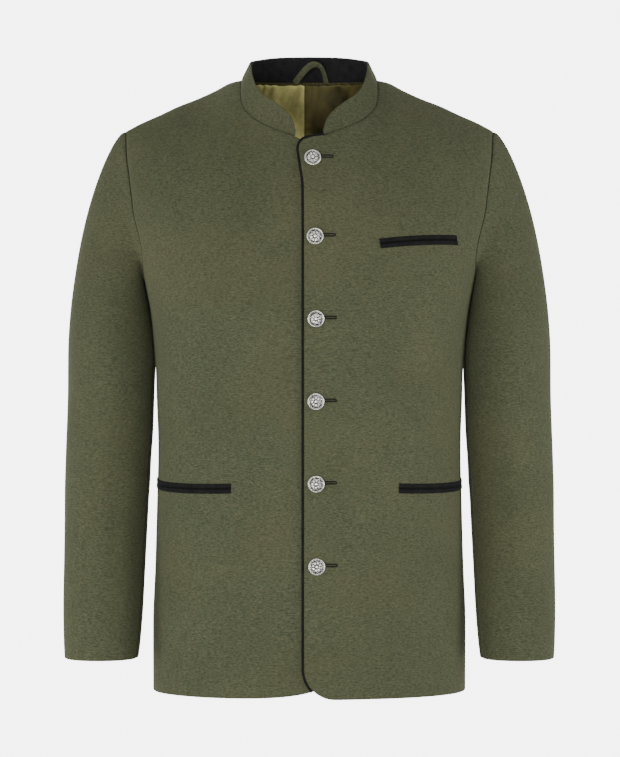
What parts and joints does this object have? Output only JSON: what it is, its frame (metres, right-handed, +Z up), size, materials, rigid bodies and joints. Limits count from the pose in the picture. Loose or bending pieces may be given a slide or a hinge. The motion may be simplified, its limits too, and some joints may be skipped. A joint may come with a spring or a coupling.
{
  "type": "tyrolean loden jacket",
  "caption": "Tyrolean loden jacket, filled out as worn, with stand collar, black piping, jetted pockets and domed metal buttons.",
  "frame": {"origin": "midway between the two points where the collar seam meets the shoulder seams", "axes": "+Z up, +X to the wearer's left, -Y to the front of the jacket"},
  "size_m": [0.5864, 0.2587, 0.764],
  "materials": {
    "loden": "matte",
    "black_velvet": "matte",
    "satin": "satin",
    "tape": "matte",
    "old_silver": "satin"
  },
  "bodies": {
    "root": {"front_left": "loden", "front_right": "loden", "back": "loden", "sleeve_left_upper": "loden", "sleeve_left_under": "loden", "sleeve_right_upper": "loden", "sleeve_right_under": "loden", "collar_outer": "loden", "hanger_loop": "loden", "collar_inner": "black_velvet", "front_piping": "black_velvet", "chest_welt_upper": "black_velvet", "chest_welt_lower": "black_velvet", "hip_left_welt_upper": "black_velvet", "hip_left_welt_lower": "black_velvet", "hip_right_welt_upper": "black_velvet", "hip_right_welt_lower": "black_velvet", "lining_back_left": "satin", "lining_back_right": "satin", "neck_tape": "tape", "button_1": "old_silver", "button_2": "old_silver", "button_3": "old_silver", "button_4": "old_silver", "button_5": "old_silver", "button_6": "old_silver"}
  },
  "joints": []
}
